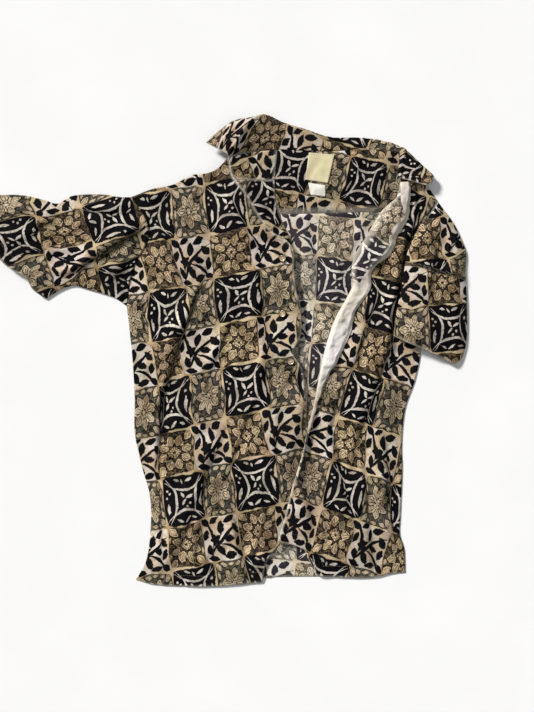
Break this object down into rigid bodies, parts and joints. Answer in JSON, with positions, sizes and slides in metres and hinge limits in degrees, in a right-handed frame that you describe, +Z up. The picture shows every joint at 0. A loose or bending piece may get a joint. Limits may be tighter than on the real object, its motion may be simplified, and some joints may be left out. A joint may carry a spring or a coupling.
{
  "type": "hawaiian shirt",
  "caption": "Short-sleeved aloha shirt laid flat with its front open, one sleeve stretched out and one hanging down, with a camp collar and a block print.",
  "frame": {"origin": "middle of the outline, on the surface that the shirt lies on", "axes": "+X from the wearer's right sleeve to the left one, +Y from the hem to the collar, +Z up, away from the surface"},
  "size_m": [0.834, 0.7755, 0.026],
  "materials": {
    "printed_cloth": "matte woven cotton with a block print of black, olive, tan and cream",
    "printed_cloth_inside": "wrong side of the print, paler and greyer",
    "selvedge_cloth": "unprinted off-white selvedge beside the pale wrong side of the print",
    "button": "polished tan horn-like plastic",
    "label_cloth": "satin woven label, blank",
    "tab_cloth": "satin woven tab, blank"
  },
  "bodies": {
    "root": {"back": "printed_cloth_inside", "yoke": "printed_cloth", "facing_right": "printed_cloth", "facing_left": "selvedge_cloth", "front_right": "printed_cloth", "front_left": "printed_cloth", "sleeve_right": "printed_cloth", "sleeve_left": "printed_cloth", "collar": "printed_cloth", "button_1": "button", "button_2": "button", "button_3": "button", "neck_label": "label_cloth", "size_tab": "tab_cloth"}
  },
  "joints": []
}
